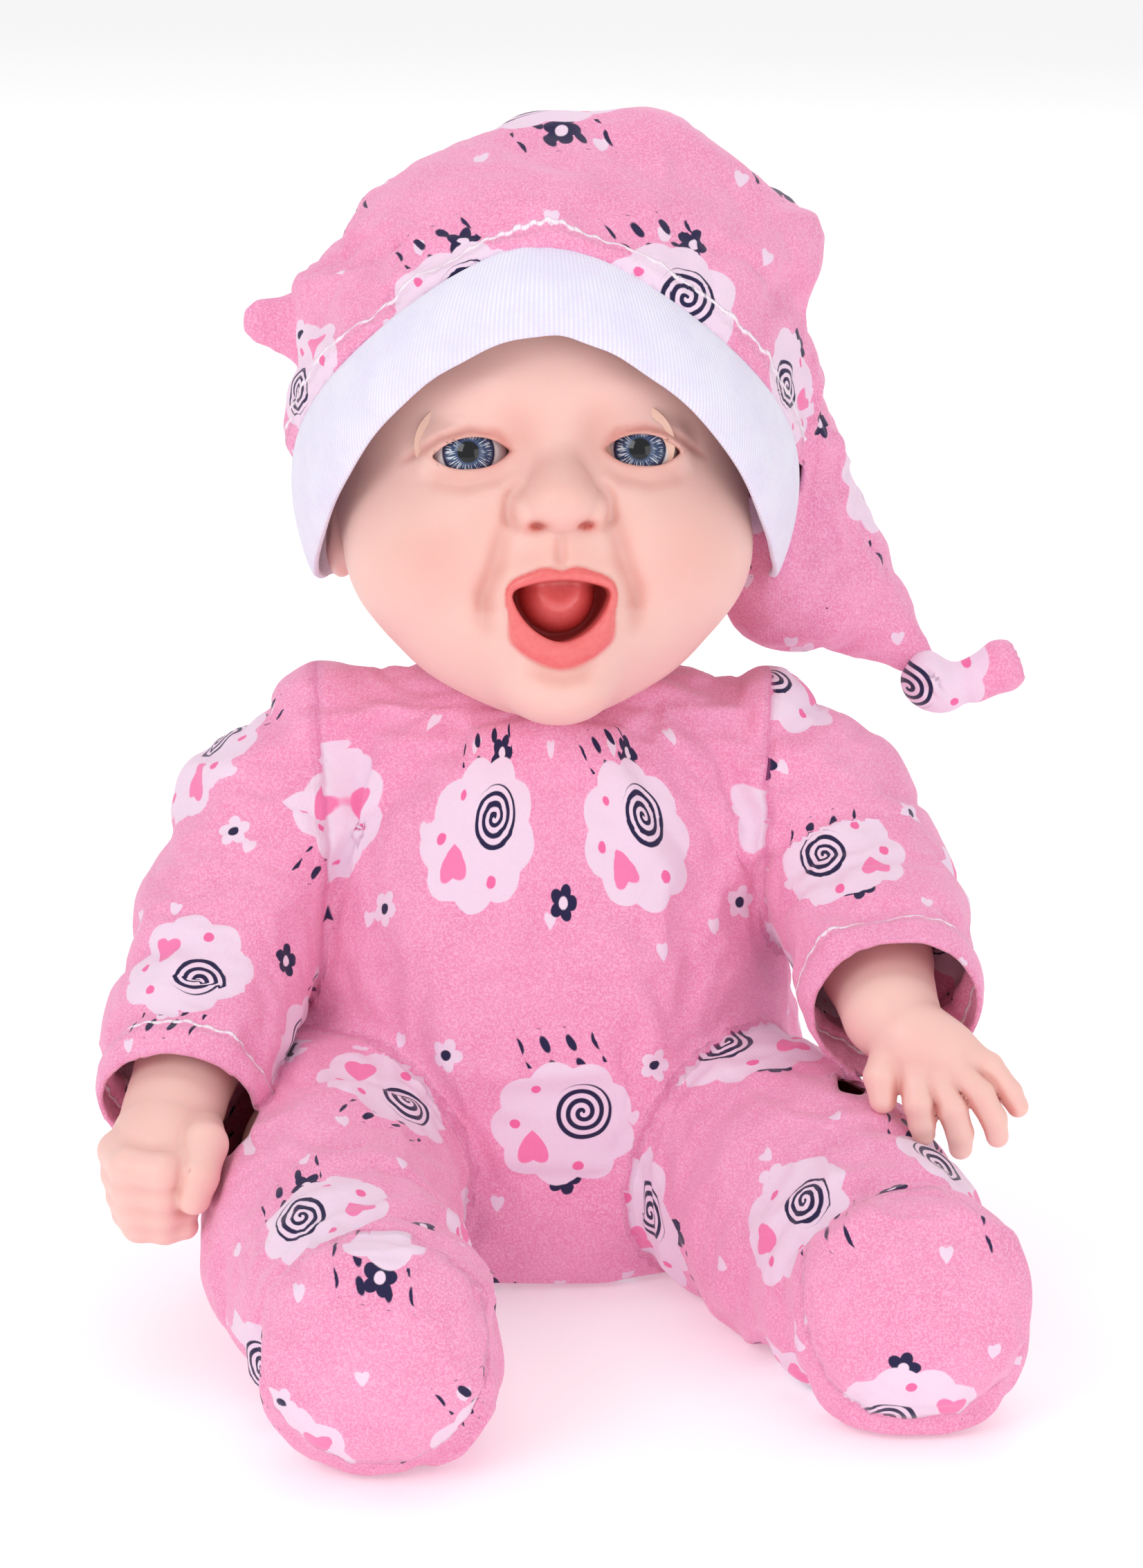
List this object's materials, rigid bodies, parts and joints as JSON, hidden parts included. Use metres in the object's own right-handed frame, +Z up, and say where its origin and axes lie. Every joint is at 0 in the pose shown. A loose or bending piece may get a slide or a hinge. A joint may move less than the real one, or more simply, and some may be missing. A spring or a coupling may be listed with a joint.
{
  "type": "baby doll",
  "caption": "Seated vinyl baby doll with a laughing open mouth, in a printed footed sleepsuit and a long-tailed night cap, with a press-to-talk sound box in its belly.",
  "frame": {"origin": "centre of the flat seat that the doll rests on", "axes": "+Z up through the head, the doll faces -Y and its own left is +X"},
  "size_m": [0.1905, 0.184, 0.2323],
  "materials": {
    "vinyl_skin": "soft matt vinyl, lips and cheeks tinted",
    "body_plastic": "moulded",
    "button_plastic": "moulded",
    "black_plastic": "moulded",
    "steel": "plated",
    "cell_wrap": "shrink wrap",
    "board": "solder mask",
    "speaker_paper": "pressed paper",
    "wire_cover": "flexible cover",
    "eye": "polished, blue iris",
    "print_jersey": "printed knit, pink with a small white, navy and rose pattern",
    "white_rib": "rib knit",
    "closure_tape": "hook and loop tape under a placket"
  },
  "bodies": {
    "torso": {"torso_front_shell": "body_plastic", "torso_back_shell": "body_plastic", "torso_screws": "steel", "battery_box": "body_plastic", "batteries": "cell_wrap", "battery_contacts": "steel", "battery_door": "body_plastic", "battery_door_screw": "steel", "speaker_frame": "body_plastic", "speaker_cone": "speaker_paper", "speaker_magnet": "steel", "circuit_board": "board", "sound_chip": "black_plastic", "board_parts": "black_plastic", "press_switch": "black_plastic", "button_spring": "steel", "spring_guide": "body_plastic", "power_switch_body": "black_plastic", "lead_wires": "wire_cover", "suit_front": "print_jersey", "suit_back_left": "print_jersey", "suit_back_right": "print_jersey", "back_closure_strip": "closure_tape", "collar_binding": "white_rib"},
    "belly_button": {"belly_button": "button_plastic"},
    "power_switch": {"power_switch_knob": "black_plastic"},
    "head": {"head_shell": "vinyl_skin", "eye_left": "eye", "eye_right": "eye", "eye_retainer_left": "body_plastic", "eye_retainer_right": "body_plastic"},
    "hat": {"hat_band": "white_rib", "hat_crown": "print_jersey", "hat_tail": "print_jersey", "hat_knot": "print_jersey"},
    "arm_left": {"arm_left": "vinyl_skin", "sleeve_left": "print_jersey", "cuff_left": "print_jersey"},
    "arm_right": {"arm_right": "vinyl_skin", "sleeve_right": "print_jersey", "cuff_right": "print_jersey"},
    "leg_left": {"leg_left": "vinyl_skin", "trouser_left": "print_jersey", "sole_left": "print_jersey"},
    "leg_right": {"leg_right": "vinyl_skin", "trouser_right": "print_jersey", "sole_right": "print_jersey"}
  },
  "joints": [
    {"name": "head_swivel", "type": "hinge", "parent": "torso", "child": "head", "pos_m": [0, 0.004, 0.115], "axis": [0, 0, 1], "range_deg": [-45, 45]},
    {"name": "arm_left_swing", "type": "hinge", "parent": "torso", "child": "arm_left", "pos_m": [0.043, 0, 0.094], "axis": [-1, 0, 0], "range_deg": [0, 70]},
    {"name": "arm_right_swing", "type": "hinge", "parent": "torso", "child": "arm_right", "pos_m": [-0.043, 0, 0.094], "axis": [-1, 0, 0], "range_deg": [0, 70]},
    {"name": "leg_left_swing", "type": "hinge", "parent": "torso", "child": "leg_left", "pos_m": [0.03, -0.004, 0.028], "axis": [-0.9781, 0, 0.2079], "range_deg": [-80, 0]},
    {"name": "leg_right_swing", "type": "hinge", "parent": "torso", "child": "leg_right", "pos_m": [-0.03, -0.004, 0.028], "axis": [-0.9781, 0, -0.2079], "range_deg": [-80, 0]},
    {"name": "hat_lift", "type": "slide", "parent": "head", "child": "hat", "axis": [0, 0.6428, 0.766], "range_m": [0, 0.12]},
    {"name": "belly_press", "type": "slide", "parent": "torso", "child": "belly_button", "axis": [0, 1, 0], "range_m": [0, 0.0025], "stiffness_N_per_m": 600, "springref_m": -0.001, "deforming": ["button_spring"]},
    {"name": "power_slide", "type": "slide", "parent": "torso", "child": "power_switch", "axis": [1, 0, 0], "range_m": [0, 0.003]}
  ]
}
